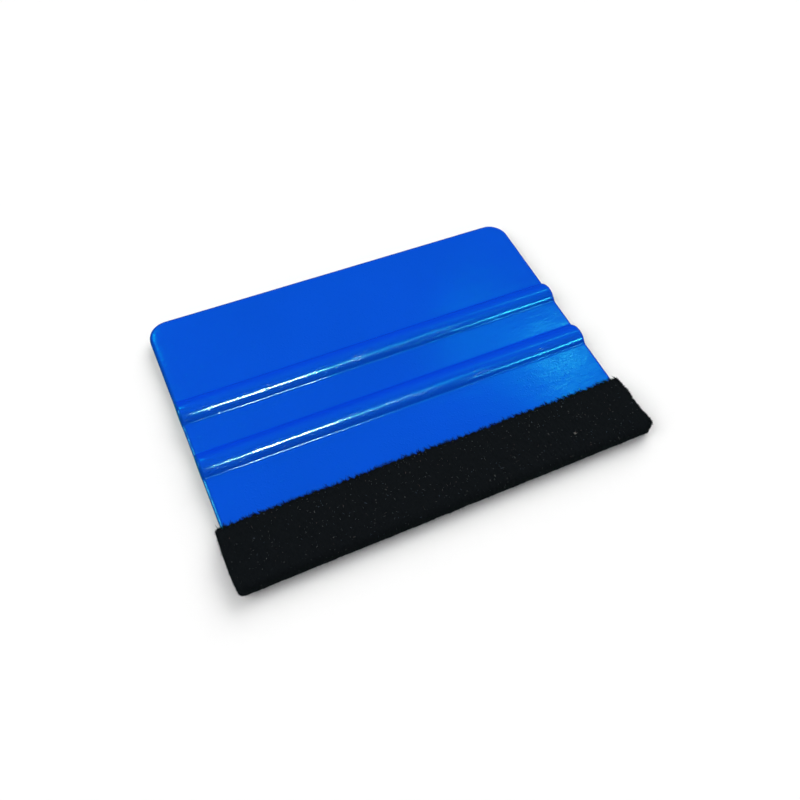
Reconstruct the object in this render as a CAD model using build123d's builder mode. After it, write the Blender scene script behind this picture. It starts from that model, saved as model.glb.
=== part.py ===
"""Squeegee applicator for laying vinyl film.

A moulded plastic card with two grip ribs on each face, and a felt strip folded over its
working edge and held by adhesive tape. Millimetres. X runs across the card, Y from the
felted working edge (-Y) to the bare top edge (+Y), and Z up through the card's thickness.
The origin is under the middle of the whole tool, at the level of its lowest point.
"""

import os
from math import sqrt

from build123d import *

# ---- Card ----
card_width = 100.0  # across, along the working edge
card_height = 73.0  # from the working edge to the top edge
card_thickness = 2.0
top_corner_radius = 5.0
side_rounding = 0.85  # radius along the bare sides, the top edge and the ribs' ends

# ---- Working edge, which thins down under the felt ----
working_edge_thickness = 1.3
bevel_length = 8.0

# ---- Grip ribs, the same pair on both faces ----
rib_height = 1.7  # above the card's face
rib_width = 6.6  # where the crown's arc meets the card's face
rib_foot_radius = 0.75  # the fillet between rib and face
first_rib_offset = 30.2  # from the working edge to the first rib's crown
rib_pitch = 15.0
rib_count = 2

# ---- Felt strip and the tape under it ----
felt_thickness = 1.1
felt_cover = 14.5  # how far each flap reaches up its face
felt_overhang = 1.1  # past the card's side, at each end
tape_thickness = 0.15
tape_setback = 1.0  # from the flaps' edges and from the card's sides

# ---- Sizes that follow ----
felt_stack = tape_thickness + felt_thickness
felt_length = card_width + 2 * felt_overhang
tape_length = card_width - 2 * tape_setback
tape_cover = felt_cover - tape_setback

mid_z = card_thickness / 2 + max(rib_height, felt_stack)
front_z = mid_z + card_thickness / 2
back_z = mid_z - card_thickness / 2
rim_radius = min(side_rounding, 0.45 * card_thickness)
working_edge_y = (felt_stack - card_height) / 2
top_edge_y = working_edge_y + card_height
rib_centres = [working_edge_y + first_rib_offset + i * rib_pitch for i in range(rib_count)]


def card_outline():
    """The card's section without ribs: two faces, a bevel on each, and a round nose."""
    nose_radius = working_edge_thickness / 2
    nose_y = working_edge_y + nose_radius
    bevel_y = working_edge_y + bevel_length
    with BuildLine() as outline:
        ThreePointArc(
            (nose_y, mid_z + nose_radius),
            (working_edge_y, mid_z),
            (nose_y, mid_z - nose_radius),
        )
        Polyline(
            (nose_y, mid_z - nose_radius),
            (bevel_y, back_z),
            (top_edge_y, back_z),
            (top_edge_y, front_z),
            (bevel_y, front_z),
            (nose_y, mid_z + nose_radius),
        )
    make_face(outline.edges())


def rib_outline(centre_y):
    """A lens through the card: one arc is the front rib's crown, the other the back rib's."""
    crown_radius = (rib_width**2 / 4 + rib_height**2) / (2 * rib_height)
    crown_rise = card_thickness / 2 + rib_height
    half_width = sqrt(crown_radius**2 - (crown_radius - crown_rise) ** 2)
    left = (centre_y - half_width, mid_z)
    right = (centre_y + half_width, mid_z)
    with BuildLine() as outline:
        ThreePointArc(left, (centre_y, mid_z + crown_rise), right)
        ThreePointArc(right, (centre_y, mid_z - crown_rise), left)
    make_face(outline.edges())


def is_rib_foot(corner):
    """Whether a corner of the section is where a rib's crown meets a face of the card.

    A section's own X is the tool's Y.
    """
    return any(abs(abs(corner.X - y) - rib_width / 2) < 0.01 for y in rib_centres)


def is_above_bevel(piece):
    """Whether a face or an edge is centred on the card's full thickness."""
    return piece.center().Y > working_edge_y + bevel_length


def is_rim(face):
    """Whether a face stands upright round the card: its sides, top edge and top corners."""
    return abs(face.normal_at().Z) < 0.01 and is_above_bevel(face)


def wrap_outline(inner_gap, outer_gap, cover):
    """A layer folded over the working edge, between two distances from the card."""
    offset(plain_section.sketch_local, amount=outer_gap)
    if inner_gap:
        offset(plain_section.sketch_local, amount=inner_gap, mode=Mode.SUBTRACT)
    else:
        add(plain_section.sketch_local, mode=Mode.SUBTRACT)
    with Locations((working_edge_y + cover, mid_z)):
        Rectangle(
            2 * card_height,
            4 * (card_thickness + felt_stack),
            align=(Align.MIN, Align.CENTER),
            mode=Mode.SUBTRACT,
        )


with BuildSketch(Plane.YZ) as plain_section:
    card_outline()

# ---- Card: one moulding, with its ribs ----
with BuildPart() as card:
    with BuildSketch(Plane.YZ) as ribbed_section:
        card_outline()
        for rib_y in rib_centres:
            rib_outline(rib_y)
        fillet(ribbed_section.vertices().filter_by(is_rib_foot), radius=rib_foot_radius)
    extrude(amount=card_width / 2, both=True)
    top_corners = card.edges().filter_by(Axis.Z).group_by(Axis.Y)[-1]
    fillet(top_corners, radius=top_corner_radius)
    rim_edges = card.faces().filter_by(is_rim).edges().filter_by(Axis.Z, reverse=True)
    fillet(rim_edges.filter_by(is_above_bevel), radius=rim_radius)
card.part.label = "card"

# ---- Adhesive tape: between card and felt, round the working edge ----
with BuildPart() as adhesive_tape:
    with BuildSketch(Plane.YZ):
        wrap_outline(0, tape_thickness, tape_cover)
    extrude(amount=tape_length / 2, both=True)
adhesive_tape.part.label = "adhesive_tape"

# ---- Felt strip: folded over the tape, past the card's sides at both ends ----
with BuildPart() as felt_strip:
    with BuildSketch(Plane.YZ):
        wrap_outline(tape_thickness, felt_stack, felt_cover)
    extrude(amount=felt_length / 2, both=True)
felt_strip.part.label = "felt_strip"

os.makedirs("parts", exist_ok=True)
for piece in (card, adhesive_tape, felt_strip):
    export_step(piece.part, f"parts/{piece.part.label}.step")
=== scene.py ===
"""Squeegee applicator: the looks of its card, tape and felt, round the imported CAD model.

Metres, in the row frame: X along the working edge, Y from the felted edge to the bare top
edge, Z up. The card and the tape are the CAD nodes with materials of their own. The felt
strip is a new mesh that stands for its CAD node, with a fuzz of loose fibres on it.
"""

import math

import bpy
import numpy as np
from mathutils import Matrix, Vector


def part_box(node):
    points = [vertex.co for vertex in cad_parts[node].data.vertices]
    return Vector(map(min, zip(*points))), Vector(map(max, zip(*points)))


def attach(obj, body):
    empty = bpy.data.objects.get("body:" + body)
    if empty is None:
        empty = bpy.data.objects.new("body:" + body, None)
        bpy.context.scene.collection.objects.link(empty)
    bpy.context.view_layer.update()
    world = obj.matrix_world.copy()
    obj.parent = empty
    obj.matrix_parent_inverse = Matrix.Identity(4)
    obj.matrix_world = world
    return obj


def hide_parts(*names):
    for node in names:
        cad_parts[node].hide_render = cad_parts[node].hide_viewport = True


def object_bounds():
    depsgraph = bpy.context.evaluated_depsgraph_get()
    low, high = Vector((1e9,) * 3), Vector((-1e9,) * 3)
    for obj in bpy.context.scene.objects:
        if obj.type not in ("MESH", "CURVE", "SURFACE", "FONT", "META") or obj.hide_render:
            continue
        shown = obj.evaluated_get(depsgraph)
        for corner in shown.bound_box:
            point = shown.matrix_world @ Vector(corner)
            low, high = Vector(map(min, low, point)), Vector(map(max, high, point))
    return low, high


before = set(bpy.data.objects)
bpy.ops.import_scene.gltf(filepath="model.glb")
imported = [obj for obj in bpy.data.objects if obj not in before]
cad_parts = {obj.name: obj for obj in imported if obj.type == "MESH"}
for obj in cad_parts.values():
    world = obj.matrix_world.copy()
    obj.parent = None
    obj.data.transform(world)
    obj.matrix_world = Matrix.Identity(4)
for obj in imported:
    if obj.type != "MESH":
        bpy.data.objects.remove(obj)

MM = 0.001

cad_low, cad_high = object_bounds()
card_low, card_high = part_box("card")
tape_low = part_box("adhesive_tape")[0]
felt_low, felt_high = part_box("felt_strip")

# ---- The fold, as the CAD model has it ----
WORKING_EDGE_THICKNESS = 1.3 * MM
BEVEL_LENGTH = 8 * MM
EDGE_Y = card_low.y
MID_Z = (felt_low.z + felt_high.z) / 2
TAPE_THICKNESS = card_low.y - tape_low.y
FELT_THICKNESS = tape_low.y - felt_low.y
CARD_HALF_THICKNESS = felt_high.z - MID_Z - TAPE_THICKNESS - FELT_THICKNESS
FELT_HALF_LENGTH = felt_high.x
BEND_EASE = 0.6 * MM  # each way from the bevel's end, the felt turns level over this length

# ---- The card's outline, for its material ----
TOP_CORNER_RADIUS = 5 * MM
RIM_FALL_WIDTH = 2.5 * MM  # the face falls a little towards its left side and top edge

# ---- The felt's cut and pile ----
TOOTH_COUNT = 60
TOOTH_DEPTH = 0.45 * MM
EDGE_DRIFT = 0.35 * MM  # how far a flap's edge wanders along its length
EDGE_TUFT = 0.14 * MM  # how far its tufts differ
END_TUFT = 0.1 * MM  # how far a cut end's tufts stand past its line, or short of it
COLUMNS_PER_TOOTH = 10
OUTER_ROWS = 108
INNER_ROWS = 12
EDGE_SOFTNESS = 0.45 * MM  # the pile thins over this length towards the felt's outline
EDGE_THINNING = 0.3  # by this share of its thickness
EDGE_CUT_REACH = 1.4 * MM  # a flap's rows give way to its teeth over this length
END_CUT_REACH = 3 * MM  # and its columns to a cut end's line over this one
PILE_HEIGHT = 0.05 * MM
PILE_SINK = 0.08 * MM  # the pile's middle lies this far inside the CAD felt's face
STRAND_SINK = 0.03 * MM  # loose ends start this far inside the pile's surface
LINT_RISE = 0.03 * MM  # lint lies this far above it
BACK_LIFT = 0.6  # the share by which strands that hang below the felt are pressed up
FLECK_X, FLECK_Y = 32.3 * MM, -31.4 * MM  # where one larger fleck of lint lies

# How far each cut end stands past the CAD felt's, from the nose (0) to a flap's edge (1),
# and how round its corners are there.
LEFT_END = ((0.0, 0.0), (0.12, 0.2 * MM), (0.35, 0.4 * MM), (0.7, 0.35 * MM), (1.0, 0.2 * MM))
LEFT_CORNERS = (1.4 * MM, 1.0 * MM)
RIGHT_END = (
    (0.0, 0.2 * MM),
    (0.14, 0.55 * MM),
    (0.35, 0.0),
    (0.55, -0.25 * MM),
    (0.7, 0.05 * MM),
    (1.0, -0.7 * MM),
)
RIGHT_CORNERS = (1.6 * MM, 0.3 * MM)

# ---- Studio ----
FLOOR_SIZE = 3.0
FLOOR_GAP = 0.02 * MM
LIGHT_DISTANCE = 0.6
CAMERA_DISTANCE = 195.3  # millimetres
CAMERA_LENS = 36.86  # millimetres, before a sensor 36 mm wide


def smoothstep(value, start, end):
    """Eases from 0 at start to 1 at end."""
    t = np.clip((value - start) / (end - start), 0, 1)
    return t * t * (3 - 2 * t)


# ---------------------------------------------------------------- materials


class Nodes:
    """A material's node tree, with short calls to add nodes and link them."""

    def __init__(self, name):
        self.material = bpy.data.materials.new(name)
        self.material.use_nodes = True
        self.tree = self.material.node_tree
        self.shader = self.tree.nodes["Principled BSDF"]
        self.place = self.add("ShaderNodeTexCoord").outputs["Object"]

    def add(self, kind, **settings):
        made = self.tree.nodes.new(kind)
        for key, value in settings.items():
            setattr(made, key, value)
        return made

    def link(self, source, target):
        self.tree.links.new(source, target)

    def set(self, **values):
        """Sets the shader's own sockets; a name's underscores stand for spaces."""
        for key, value in values.items():
            self.shader.inputs[key.replace("_", " ")].default_value = value

    def noise(self, size, detail=3.0, roughness=0.5, stretch=None):
        """Noise whose features are about this many metres across. Returns its factor."""
        made = self.add("ShaderNodeTexNoise")
        made.inputs["Scale"].default_value = 1 / size
        made.inputs["Detail"].default_value = detail
        made.inputs["Roughness"].default_value = roughness
        self.link(self.stretched(stretch), made.inputs["Vector"])
        return made.outputs["Fac"]

    def stretched(self, stretch):
        """The piece's coordinates, scaled along each axis if stretch says so."""
        if stretch is None:
            return self.place
        mapping = self.add("ShaderNodeMapping")
        mapping.inputs["Scale"].default_value = stretch
        self.link(self.place, mapping.inputs["Vector"])
        return mapping.outputs["Vector"]

    def ramp(self, factor, *stops, smooth=False):
        """A colour ramp through (position, value or colour) stops. Returns its colour."""
        made = self.add("ShaderNodeValToRGB")
        made.color_ramp.interpolation = "B_SPLINE" if smooth else "LINEAR"
        elements = made.color_ramp.elements
        while len(elements) < len(stops):
            elements.new(0.5)
        for element, (position, value) in zip(elements, stops):
            element.position = position
            element.color = (value,) * 3 + (1,) if isinstance(value, float) else (*value, 1)
        self.link(factor, made.inputs["Fac"])
        return made.outputs["Color"]

    def math(self, operation, a, b=0):
        """One step of arithmetic on numbers or sockets. Returns its value."""
        made = self.add("ShaderNodeMath", operation=operation)
        for socket, value in zip(made.inputs, (a, b)):
            if isinstance(value, (int, float)):
                socket.default_value = value
            else:
                self.link(value, socket)
        return made.outputs["Value"]

    def mix(self, factor, a, b):
        """Colour a where factor is 0 and b where it is 1."""
        made = self.add("ShaderNodeMix", data_type="RGBA")
        for name, value in (("Factor", factor), ("A", a), ("B", b)):
            socket = next(s for s in made.inputs if s.name == name and s.enabled)
            if isinstance(value, (int, float)):
                socket.default_value = value
            elif isinstance(value, tuple):
                socket.default_value = (*value, 1)
            else:
                self.link(value, socket)
        return next(s for s in made.outputs if s.enabled)

    def bump(self, height, distance, before=None, strength=1.0):
        """A normal bent by a height from 0 to 1, on top of the one before."""
        made = self.add("ShaderNodeBump")
        made.inputs["Strength"].default_value = strength
        made.inputs["Distance"].default_value = distance
        self.link(height, made.inputs["Height"])
        if before is not None:
            self.link(before, made.inputs["Normal"])
        return made.outputs["Normal"]


def card_material():
    """Glossy azure moulding with a clear skin, soft flow marks, a fine grain and a few pips.

    Its left side and top edge are painted a little darker than its faces: painted shade
    along that outline, where the edges turn from the light. What it bounces onto other
    things is grey, so that the shadows round it stay neutral.
    """
    n = Nodes("azure_plastic")
    n.set(
        Roughness=0.3,
        Specular_IOR_Level=0.0,
        Coat_Weight=1.0,
        Coat_Roughness=0.07,
        Coat_IOR=1.5,
    )
    cloud = n.noise(22 * MM, detail=1)
    azure = n.ramp(cloud, (0.3, (0.0008, 0.037, 0.56)), (0.7, (0.001, 0.041, 0.59)))
    share = rim_share(n)
    # Painted shade: the base colour darkens towards the left side and top edge.
    rim_painted_shade = n.mix(n.ramp(share, (0.08, 1.0), (0.34, 0.0)), azure, (0.0008, 0.035, 0.3))
    bounced = n.add("ShaderNodeLightPath").outputs["Is Diffuse Ray"]
    n.link(n.mix(bounced, rim_painted_shade, (0.2, 0.2, 0.2)), n.shader.inputs["Base Color"])
    grain = n.noise(0.4 * MM, detail=1, roughness=0.6)
    pips = n.ramp(n.noise(0.45 * MM, detail=0), (0.64, 0.0), (0.75, 1.0))
    flow = n.noise(3.2 * MM, detail=2, stretch=(0.4, 1, 1))
    rim = n.ramp(share, (0.0, 0.0), (0.5, 0.72), (1.0, 1.0), smooth=True)
    normal = n.bump(rim, 0.14 * MM)
    normal = n.bump(flow, 0.05 * MM, before=normal)
    normal = n.bump(grain, 0.02 * MM, before=normal)
    normal = n.bump(pips, 0.02 * MM, before=normal)
    n.link(normal, n.shader.inputs["Normal"])
    n.link(normal, n.shader.inputs["Coat Normal"])
    return n.material


def rim_share(n):
    """How far in from the card's outline a point of its face is: 0 at the left side, the top
    edge and the round corner between them, and 1 where the face's slight fall to them starts."""
    centre_x = card_high.x - TOP_CORNER_RADIUS
    centre_y = card_high.y - TOP_CORNER_RADIUS
    split = n.add("ShaderNodeSeparateXYZ")
    n.link(n.place, split.inputs["Vector"])
    across = n.math("MAXIMUM", n.math("SUBTRACT", -centre_x, split.outputs["X"]))
    along = n.math("MAXIMUM", n.math("SUBTRACT", split.outputs["Y"], centre_y))
    squared = n.math("ADD", n.math("MULTIPLY", across, across), n.math("MULTIPLY", along, along))
    inside = n.math("SUBTRACT", TOP_CORNER_RADIUS, n.math("SQRT", squared))
    return n.math("DIVIDE", inside, RIM_FALL_WIDTH)


def felt_material():
    """Short black pile, brushed across the strip."""
    n = Nodes("black_felt")
    n.set(Roughness=0.9, Specular_IOR_Level=0.02, Sheen_Weight=0.01, Sheen_Roughness=0.5)
    clump = n.noise(0.5 * MM, detail=4, roughness=0.7, stretch=(1.6, 0.7, 1))
    black = n.ramp(
        clump,
        (0.3, (0.0034, 0.004, 0.005)),
        (0.75, (0.0058, 0.0068, 0.0082)),
    )
    n.link(black, n.shader.inputs["Base Color"])
    fibre = n.noise(0.09 * MM, detail=3, roughness=0.7, stretch=(1, 0.45, 1))
    n.link(n.bump(fibre, 0.05 * MM, strength=0.8), n.shader.inputs["Normal"])
    return n.material


def lint_material():
    """Pale dust and thread ends, each a little different in colour."""
    n = Nodes("pale_lint")
    n.set(Roughness=0.9, Specular_IOR_Level=0.1)
    hue = n.noise(2.5 * MM, detail=0)
    pale = n.ramp(
        hue,
        (0.35, (0.3, 0.2, 0.18)),
        (0.42, (0.34, 0.33, 0.31)),
        (0.55, (0.4, 0.4, 0.39)),
        (0.65, (0.2, 0.27, 0.38)),
    )
    n.link(pale, n.shader.inputs["Base Color"])
    return n.material


def tape_material():
    """Pale, slightly cloudy pressure-sensitive adhesive."""
    n = Nodes("pale_adhesive")
    n.set(Roughness=0.35, IOR=1.47)
    cloud = n.noise(1.5 * MM, detail=3)
    pale = n.ramp(cloud, (0.3, (0.52, 0.5, 0.44)), (0.7, (0.62, 0.6, 0.54)))
    n.link(pale, n.shader.inputs["Base Color"])
    n.link(n.bump(cloud, 0.01 * MM), n.shader.inputs["Normal"])
    return n.material


def floor_material():
    """White studio paper."""
    n = Nodes("white_paper")
    n.set(Roughness=0.8, Specular_IOR_Level=0.0)
    cloud = n.noise(60 * MM, detail=2)
    white = n.ramp(cloud, (0.3, 0.885), (0.7, 0.895))
    n.link(white, n.shader.inputs["Base Color"])
    return n.material


def dress(piece, material):
    """Gives a piece this one material."""
    piece.data.materials.clear()
    piece.data.materials.append(material)


# ---------------------------------------------------------------- felt strip


def fold_lengths():
    """Lengths along the felt's middle from the nose's tip: to the nose's end, to the bevel's
    end, and to the flap's edge."""
    nose_radius = WORKING_EDGE_THICKNESS / 2
    middle = nose_radius + TAPE_THICKNESS + FELT_THICKNESS / 2
    nose = middle * math.pi / 2
    bevel = math.hypot(BEVEL_LENGTH - nose_radius, CARD_HALF_THICKNESS - nose_radius)
    flat = felt_high.y - EDGE_Y - BEVEL_LENGTH
    return nose, nose + bevel, nose + bevel + flat


def fold(along, gap):
    """Points (y, z) of the fold. along is the distance from the nose's tip, positive on the
    front and negative on the back, and gap is the distance from the card's surface."""
    nose_end, bevel_end, _ = fold_lengths()
    nose_radius = WORKING_EDGE_THICKNESS / 2
    rise = math.atan2(CARD_HALF_THICKNESS - nose_radius, BEVEL_LENGTH - nose_radius)
    s = np.abs(along)
    turn = np.clip(s / nose_end, 0, 1) * math.pi / 2
    on_bevel = np.clip(s - nose_end, 0, bevel_end - nose_end)
    on_flat = np.maximum(s - bevel_end, 0)
    y = EDGE_Y + nose_radius * (1 - np.cos(turn)) + on_bevel * math.cos(rise) + on_flat
    z = nose_radius * np.sin(turn) + on_bevel * math.sin(rise)
    bevel_tilt = rise * (1 - smoothstep(s, bevel_end - BEND_EASE, bevel_end + BEND_EASE))
    tilt = np.maximum(math.pi / 2 - turn, bevel_tilt)
    y = y - gap * np.sin(tilt)
    side = np.where(along < 0, -1, 1)
    z = (z + gap * np.cos(tilt)) * side
    return y, MID_Z + z


def blurred_noise(random, shape, cells):
    """Smooth noise with a spread of 1: white noise, blurred over cells (rows, columns)."""
    values = random.standard_normal(shape)
    for axis, width in enumerate(cells):
        kernel = np.hanning(2 * width + 3)[1:-1]
        values = np.apply_along_axis(np.convolve, axis, values, kernel, mode="same")
    return values / values.std()


def tooth_cuts(random, column):
    """How much shorter each column of a flap is than its longest teeth: a pinked edge, worn
    to tufts."""
    phase = column / COLUMNS_PER_TOOTH
    wave = np.abs((phase % 1) * 2 - 1)
    depth = TOOTH_DEPTH * random.uniform(0.5, 1.1, TOOTH_COUNT + 1)
    drift = np.interp(phase, np.linspace(0, TOOTH_COUNT, 12), random.uniform(0, EDGE_DRIFT, 12))
    tuft = random.uniform(0, EDGE_TUFT, len(column))
    return depth[np.minimum(phase.astype(int), TOOTH_COUNT)] * (1 - wave) + drift + tuft


def end_reach(reach, flap, knots, corners, random):
    """How far a cut end stands past the CAD felt's, row by row: its own line through knots,
    with round corners and small tufts."""
    line = np.interp(reach / flap, *zip(*knots))
    from_nose = fold(reach, TAPE_THICKNESS + FELT_THICKNESS)[0] - felt_low.y
    for from_corner, radius in zip((from_nose, flap - reach), corners):
        near = np.clip(from_corner / radius, 0, 1)
        line = line - radius * (1 - np.sqrt(1 - (1 - near) ** 2))
    return line + random.uniform(-END_TUFT, END_TUFT, reach.shape)


def felt_surface(random, rows, outer, cuts):
    """A grid of points, rows from the front flap's edge to the back's, columns along X. The
    outer surface has the pile, and the inner one lies on the tape."""
    columns = TOOTH_COUNT * COLUMNS_PER_TOOTH + 1
    _, _, flap = fold_lengths()
    across = np.linspace(1, -1, rows)[:, None]
    reach = np.abs(across) * flap
    near_edge = smoothstep(reach, flap - EDGE_CUT_REACH, flap)
    along = across * flap - np.sign(across) * near_edge * np.where(across > 0, cuts[0], cuts[1])
    share = np.linspace(-1, 1, columns)[None, :]
    left = end_reach(reach, flap, LEFT_END, LEFT_CORNERS, random)
    right = end_reach(reach, flap, RIGHT_END, RIGHT_CORNERS, random)
    stretch = smoothstep(np.abs(share), 1 - END_CUT_REACH / FELT_HALF_LENGTH, 1)
    x = share * FELT_HALF_LENGTH + stretch * np.where(share < 0, -left, right)
    gap = np.full(x.shape, TAPE_THICKNESS)
    if outer:
        from_end = FELT_HALF_LENGTH * (1 - np.abs(share))
        near = np.clip(np.minimum(flap - reach, from_end) / EDGE_SOFTNESS, 0, 1)
        round_off = 1 - EDGE_THINNING * (1 - near) ** 2
        pile = PILE_HEIGHT * (
            0.6 * blurred_noise(random, x.shape, (1, 1))
            + 0.5 * blurred_noise(random, x.shape, (4, 2))
            + 0.35 * blurred_noise(random, x.shape, (12, 12))
        )
        gap = gap + (FELT_THICKNESS - PILE_SINK) * round_off + pile
    y, z = fold(along + 0 * x, gap)
    return np.stack([x, y, z], axis=-1)


def grid_faces(rows, columns, start, flip):
    """Quads of a grid whose points are numbered row by row from start."""
    corner = (np.arange(rows - 1)[:, None] * columns + np.arange(columns - 1)).ravel() + start
    quads = np.stack([corner, corner + 1, corner + columns + 1, corner + columns], axis=1)
    return quads[:, ::-1] if flip else quads


def bridge_faces(a, b):
    """Quads between two lines of as many points."""
    return np.stack([a[:-1], a[1:], b[1:], b[:-1]], axis=1)


def stitched(a, b):
    """Triangles between two lines of points that start and end together, whose numbers of
    points may differ. b is walked in step with a."""
    faces, j = [], 0
    for i in range(len(a) - 1):
        goal = round((i + 1) * (len(b) - 1) / (len(a) - 1))
        faces.append((a[i], a[i + 1], b[j]))
        while j < goal:
            faces.append((b[j], a[i + 1], b[j + 1]))
            j += 1
    return faces


def mesh_piece(name, points, faces, material):
    """A new piece of the felt strip, on the tool's one body."""
    mesh = bpy.data.meshes.new(name)
    mesh.from_pydata(points.reshape(-1, 3).tolist(), [], faces)
    mesh.validate()
    mesh.shade_smooth()
    piece = bpy.data.objects.new(name, mesh)
    bpy.context.scene.collection.objects.link(piece)
    dress(piece, material)
    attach(piece, "root")
    return piece


def make_felt(outer, inner, material):
    """The folded strip: a closed skin of an outer pile surface and an inner bonded one."""
    rows, columns = outer.shape[:2]
    out = np.arange(rows * columns).reshape(rows, columns)
    inn = rows * columns + np.arange(len(inner) * columns).reshape(len(inner), columns)
    faces = grid_faces(rows, columns, 0, True).tolist()
    faces += grid_faces(len(inner), columns, rows * columns, False).tolist()
    faces += bridge_faces(out[0], inn[0]).tolist()
    faces += bridge_faces(inn[-1], out[-1]).tolist()
    faces += [f[::-1] for f in stitched(out[:, 0].tolist(), inn[:, 0].tolist())]
    faces += stitched(out[:, -1].tolist(), inn[:, -1].tolist())
    points = np.concatenate([outer.reshape(-1, 3), inner.reshape(-1, 3)])
    return mesh_piece("felt", points, faces, material)


def unit(vectors):
    """The vectors, each with a length of 1."""
    return vectors / np.linalg.norm(vectors, axis=-1, keepdims=True)


def roots_on(random, surface, rows, columns, count):
    """Random places on part of the felt's surface, and three directions at each: along X,
    towards the flap's edge, and out of the surface."""
    row = random.integers(*rows, count)
    column = random.integers(*columns, count)
    last = len(surface) - 1
    front = row < last / 2
    up = surface[np.maximum(row - 1, 0), column] - surface[np.minimum(row + 1, last), column]
    out = unit(np.cross(np.array([1.0, 0, 0]), up))
    up = unit(np.where(front[:, None], up, -up))
    place = surface[row, column]
    side = np.zeros_like(place)
    side[:, 0] = 1
    return place, side, up, out


def strands(random, roots, lean, spread, lengths, radii, sink=STRAND_SINK):
    """Points and faces of thin, bent, tapering strands, each a small closed solid of two
    three-sided rings and a tip. lean is their mean direction along the roots' three directions.
    What hangs below the felt is pressed up towards it, to keep clear of the floor."""
    place, side, up, out = roots
    count = len(place)
    weights = np.array(lean) + random.normal(0, spread, (count, 3))
    weights[:, 2] = np.abs(weights[:, 2])
    way = unit(weights[:, :1] * side + weights[:, 1:2] * up + weights[:, 2:] * out)
    bend = unit(np.cross(way, random.normal(0, 1, (count, 3))))
    third = np.cross(way, bend)
    length = random.uniform(*lengths, (count, 1))
    radius = random.uniform(*radii, (count, 1))
    start = place - out * sink
    middle = start + way * length * 0.5
    tip = start + way * length + bend * length * random.uniform(0.1, 0.45, (count, 1))
    rings = []
    for centre, share in ((start, 1.0), (middle, 0.85)):
        for turn in (0, 2 * math.pi / 3, 4 * math.pi / 3):
            arm = math.cos(turn) * bend + math.sin(turn) * third
            rings.append(centre + radius * share * arm)
    points = np.stack([*rings, tip], axis=1)
    points[..., 2] -= BACK_LIFT * np.minimum(points[..., 2] - felt_low.z, 0)
    # A strand's points: 0 to 2 round its foot, 3 to 5 round its middle, and 6 at its tip.
    pattern = [(2, 1, 0)]
    for i, j in ((0, 1), (1, 2), (2, 0)):
        pattern += [(i, j, j + 3, i + 3), (i + 3, j + 3, 6)]
    per_strand = points.shape[1]
    faces = []
    for first in range(0, count * per_strand, per_strand):
        faces += [tuple(first + corner for corner in face) for face in pattern]
    return points, faces


def joined(groups):
    """The points and faces of several groups of strands as one."""
    points, faces, start = [], [], 0
    for group, group_faces in groups:
        points.append(group.reshape(-1, 3))
        faces += [tuple(start + corner for corner in face) for face in group_faces]
        start += len(points[-1])
    return np.concatenate(points), faces


def make_fuzz(random, surface, material):
    """Loose ends of the pile: over the flaps' edges, the cut ends, the nose and both faces."""
    rows, columns = surface.shape[:2]
    nose = rows // 2
    short, long, tufts = (0.2 * MM, 0.5 * MM), (0.35 * MM, 1.0 * MM), (0.7 * MM, 1.5 * MM)
    thin, thick = (0.014 * MM, 0.03 * MM), (0.045 * MM, 0.095 * MM)
    # Rows, columns, number of strands, their lean and its spread, their lengths and radii.
    patches = (
        # The front flap's edge, then the back flap's: single fibres, and tufts.
        ((0, 4), (0, columns), 2200, (-0.1, 1, 0.3), 0.4, long, thin),
        ((0, 3), (0, columns), 520, (-0.25, 1, 0.25), 0.3, tufts, thick),
        ((rows - 4, rows), (0, columns), 2200, (-0.1, 1, 0.3), 0.4, long, thin),
        ((rows - 3, rows), (0, columns), 520, (-0.25, 1, 0.25), 0.3, tufts, thick),
        # The left cut end and the right one.
        ((0, rows), (0, 3), 900, (-1, 0, 0.1), 0.4, short, thin),
        ((0, rows), (columns - 3, columns), 900, (1, 0, 0.1), 0.4, short, thick),
        # The nose.
        ((nose - 8, nose + 8), (0, columns), 1200, (0, 0, 1), 0.5, short, thin),
        # Both faces, brushed towards the nose.
        ((0, rows), (0, columns), 4500, (0.1, -1, 0.35), 0.4, long, thin),
    )
    groups = []
    for patch_rows, patch_columns, count, lean, spread, lengths, radii in patches:
        roots = roots_on(random, surface, patch_rows, patch_columns, count)
        groups.append(strands(random, roots, lean, spread, lengths, radii))
    return mesh_piece("felt_fuzz", *joined(groups), material)


def make_lint(random, surface, material):
    """Specks and thread ends caught in the pile, and one larger fleck near the right end."""
    rows, columns = surface.shape[:2]
    inner_rows, inner_columns = (2, rows - 2), (4, columns - 4)
    dust_lengths, dust_radii = (0.05 * MM, 0.2 * MM), (0.008 * MM, 0.032 * MM)
    thread_lengths, thread_radii = (0.25 * MM, 0.65 * MM), (0.006 * MM, 0.015 * MM)
    fleck_lengths, fleck_radii = (0.3 * MM, 0.8 * MM), (0.02 * MM, 0.04 * MM)
    dust = roots_on(random, surface, inner_rows, inner_columns, 1500)
    threads = roots_on(random, surface, inner_rows, inner_columns, 120)
    away = np.linalg.norm(surface - np.array([FLECK_X, FLECK_Y, felt_high.z]), axis=-1)
    row, column = np.unravel_index(np.argmin(away), away.shape)
    groups = [
        strands(random, dust, (0, 1, 0.05), 0.5, dust_lengths, dust_radii, -LINT_RISE),
        strands(random, threads, (0.1, 1, 0.05), 0.3, thread_lengths, thread_radii, -LINT_RISE),
    ]
    fleck = roots_on(random, surface, (row - 1, row + 2), (column - 1, column + 2), 9)
    groups.append(strands(random, fleck, (0.5, 1, 0.3), 0.6, fleck_lengths, fleck_radii, -LINT_RISE))
    return mesh_piece("felt_lint", *joined(groups), material)


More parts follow.
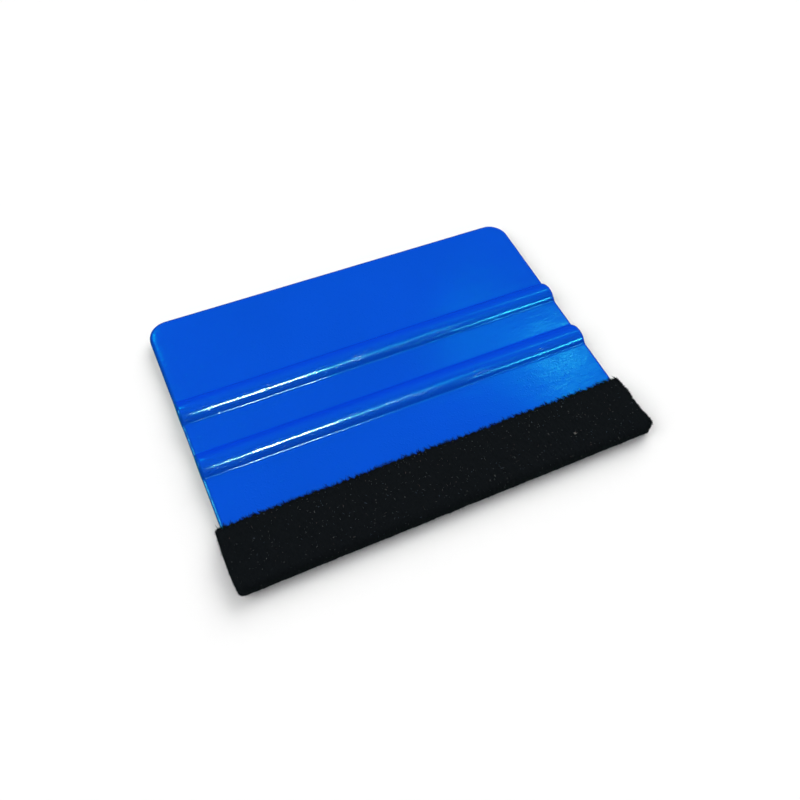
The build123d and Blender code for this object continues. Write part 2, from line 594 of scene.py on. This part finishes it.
def make_felt_strip():
    """The strip, its fuzz and its lint, in place of the CAD felt."""
    random = np.random.default_rng(11)
    column = np.arange(TOOTH_COUNT * COLUMNS_PER_TOOTH + 1)
    cuts = [tooth_cuts(random, column), tooth_cuts(random, column)]
    outer = felt_surface(random, OUTER_ROWS, True, cuts)
    inner = felt_surface(random, INNER_ROWS, False, cuts)
    black = felt_material()
    felt = make_felt(outer, inner, black)
    fuzz = make_fuzz(random, outer, black)
    lint = make_lint(random, outer, lint_material())
    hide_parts("felt_strip")


# ---------------------------------------------------------------- studio


def make_floor():
    """White paper just under the tool. Reflections don't show it."""
    bpy.ops.mesh.primitive_plane_add(size=FLOOR_SIZE, location=(0, 0, cad_low.z - FLOOR_GAP))
    floor = bpy.context.object
    floor.name = "floor"
    floor.visible_glossy = False
    dress(floor, floor_material())


def add_light(light, towards):
    """Aims a light back along this direction and adds it to the scene."""
    light.rotation_mode = "QUATERNION"
    light.rotation_quaternion = (-Vector(towards)).to_track_quat("-Z", "Y")
    bpy.context.scene.collection.objects.link(light)


def sky_light(name, towards, angle, strength):
    """Even light from a disc of the sky, this wide, as through a tent's wall. It lights what it
    falls on, and gloss doesn't show it."""
    data = bpy.data.lights.new(name, "SUN")
    data.angle = angle
    data.energy = strength
    data.cycles.use_multiple_importance_sampling = False
    light = bpy.data.objects.new(name, data)
    light.visible_glossy = False
    add_light(light, towards)


def softbox(name, place, towards, size, radiance, colour):
    """A softbox that shows only in reflections, LIGHT_DISTANCE away in this direction from a
    place on the tool, which is in millimetres. Its size is in metres."""
    data = bpy.data.lights.new(name, "AREA")
    data.shape = "RECTANGLE"
    data.size, data.size_y = size
    data.energy = radiance * math.pi * size[0] * size[1]
    data.color = colour
    light = bpy.data.objects.new(name, data)
    light.location = Vector(place) * MM + Vector(towards).normalized() * LIGHT_DISTANCE
    light.visible_diffuse = False
    add_light(light, towards)


def make_world():
    """What the camera sees past the floor is white, and what gloss reflects is blue-green,
    brightest overhead. It lights nothing else."""
    world = bpy.data.worlds.new("surroundings")
    bpy.context.scene.world = world
    world.use_nodes = True
    world.cycles.sampling_method = "NONE"
    nodes, links = world.node_tree.nodes, world.node_tree.links
    split = nodes.new("ShaderNodeSeparateXYZ")
    links.new(nodes.new("ShaderNodeTexCoord").outputs["Generated"], split.inputs["Vector"])
    ramp = nodes.new("ShaderNodeValToRGB")
    links.new(split.outputs["Z"], ramp.inputs["Fac"])
    low, high = ramp.color_ramp.elements
    low.position, low.color = 0.2, (0.01, 0.2, 0.16, 1)
    high.position, high.color = 0.85, (0.04, 1, 0.8, 1)
    rays = nodes.new("ShaderNodeLightPath").outputs
    reflected = nodes["Background"]
    links.new(ramp.outputs["Color"], reflected.inputs["Color"])
    links.new(rays["Is Glossy Ray"], reflected.inputs["Strength"])
    seen = nodes.new("ShaderNodeBackground")
    seen.inputs["Color"].default_value = (1, 1, 1, 1)
    links.new(rays["Is Camera Ray"], seen.inputs["Strength"])
    both = nodes.new("ShaderNodeAddShader")
    links.new(reflected.outputs["Background"], both.inputs[0])
    links.new(seen.outputs["Background"], both.inputs[1])
    links.new(both.outputs["Shader"], nodes["World Output"].inputs["Surface"])


def make_camera():
    """Looks down at the tool from the left of its felted edge, with a small roll."""
    azimuth, elevation, roll = math.radians(-31.02), math.radians(56.2), math.radians(7.05)
    middle = (cad_low + cad_high) / 2
    aim = middle + Vector((-0.73 * MM, -6.04 * MM, 0))
    back = Vector(
        (
            math.sin(azimuth) * math.cos(elevation),
            -math.cos(azimuth) * math.cos(elevation),
            math.sin(elevation),
        )
    )
    data = bpy.data.cameras.new("camera")
    data.sensor_width = 36
    data.lens = CAMERA_LENS
    data.clip_start = 0.01
    camera = bpy.data.objects.new("camera", data)
    camera.location = aim + back * CAMERA_DISTANCE * MM
    turn = (-back).to_track_quat("-Z", "Y").to_matrix().to_4x4()
    camera.matrix_world = (
        Matrix.Translation(camera.location) @ turn @ Matrix.Rotation(roll, 4, "Z")
    )
    bpy.context.scene.collection.objects.link(camera)
    bpy.context.scene.camera = camera


def make_studio():
    """The floor, what is round the tool, the lights and the camera."""
    make_floor()
    make_world()
    # Name, direction, angle and strength.
    sky_light("dome", (0, 0, 1), math.pi, 1.3)
    sky_light("key", (0.55, 0.56, 0.62), 0.9, 2.05)
    sky_light("fill", (-0.74, 0.02, 0.67), 0.8, 1.55)
    # Name, place, direction, size, radiance and colour.
    softbox("glint", (-30, 2, 5), (0.14, -0.34, 0.93), (0.085, 0.034), 240, (0.7, 1, 0.9))
    softbox("fringe", (-30, 2, 5), (0.14, -0.34, 0.93), (0.14, 0.08), 16, (0, 1, 0.7))
    softbox("streak", (-2, 2, 5), (0.265, -0.27, 0.92), (0.26, 0.06), 5, (0, 0.9, 1))
    softbox("halo", (-10, 2, 5), (0.24, -0.2, 0.94), (0.3, 0.24), 0.6, (0, 1, 0.8))
    softbox("haze", (42, -10, 4), (0.475, 0.43, 0.77), (0.065, 0.05), 3.2, (0.02, 1, 0.75))
    softbox("spark", (41, -11, 4), (0.475, 0.43, 0.77), (0.012, 0.012), 24, (0.1, 1, 0.8))
    softbox("glow", (38, -10, 4), (0.46, 0.43, 0.78), (0.22, 0.09), 1.2, (0, 1, 0.6))
    softbox("side", (42, -1, 5), (0.46, -0.6, 0.65), (0.14, 0.03), 60, (0.05, 0.8, 1))
    softbox("corner", (-49, 32, 4), (-0.1, 0.68, 0.72), (0.06, 0.08), 16, (0, 1, 0.9))
    softbox("left", (-50, -13, 4), (-0.86, 0.47, 0.19), (0.1, 0.08), 40, (0.1, 1, 1))
    make_camera()
    bpy.context.scene.view_settings.view_transform = "Standard"


# ---------------------------------------------------------------- the tool

dress(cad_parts["card"], card_material())
dress(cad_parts["adhesive_tape"], tape_material())
make_felt_strip()
make_studio()
